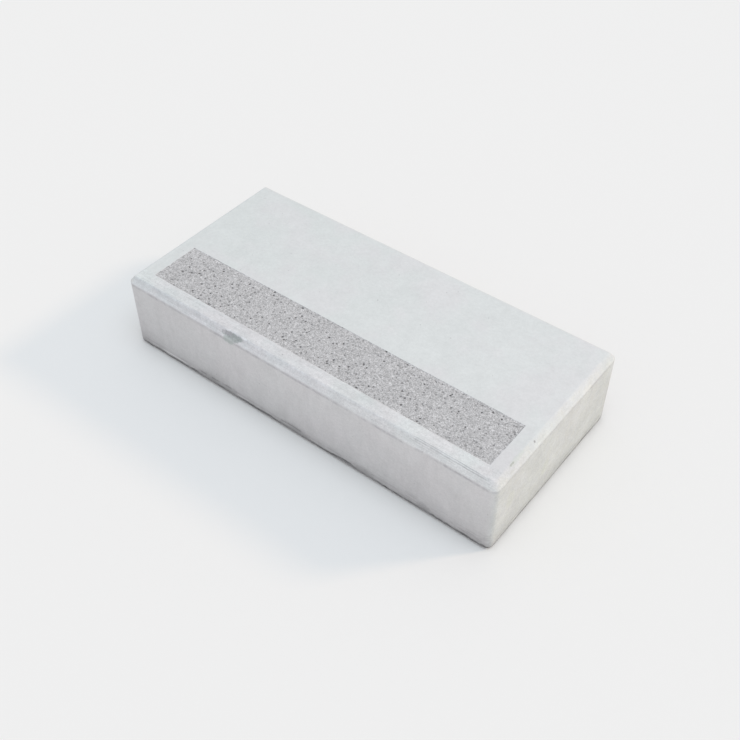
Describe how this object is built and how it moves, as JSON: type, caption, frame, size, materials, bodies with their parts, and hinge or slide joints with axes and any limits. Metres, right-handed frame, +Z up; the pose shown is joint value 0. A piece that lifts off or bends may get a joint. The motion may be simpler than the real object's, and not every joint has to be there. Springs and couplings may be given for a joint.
{
  "type": "concrete step block",
  "caption": "Solid precast concrete step: a flat rectangular block with a chamfered tread, softened corners and a rough anti-slip strip behind the nosing.",
  "frame": {"origin": "centre of the underside", "axes": "+X along the step, +Y from the riser at the front to the back, +Z up out of the tread"},
  "size_m": [0.75, 0.35, 0.15],
  "materials": {
    "concrete": "smooth fair-faced light grey concrete, slightly cool, with a coarser darker blasted strip on the tread"
  },
  "bodies": {
    "root": {"step_block": "concrete"}
  },
  "joints": []
}
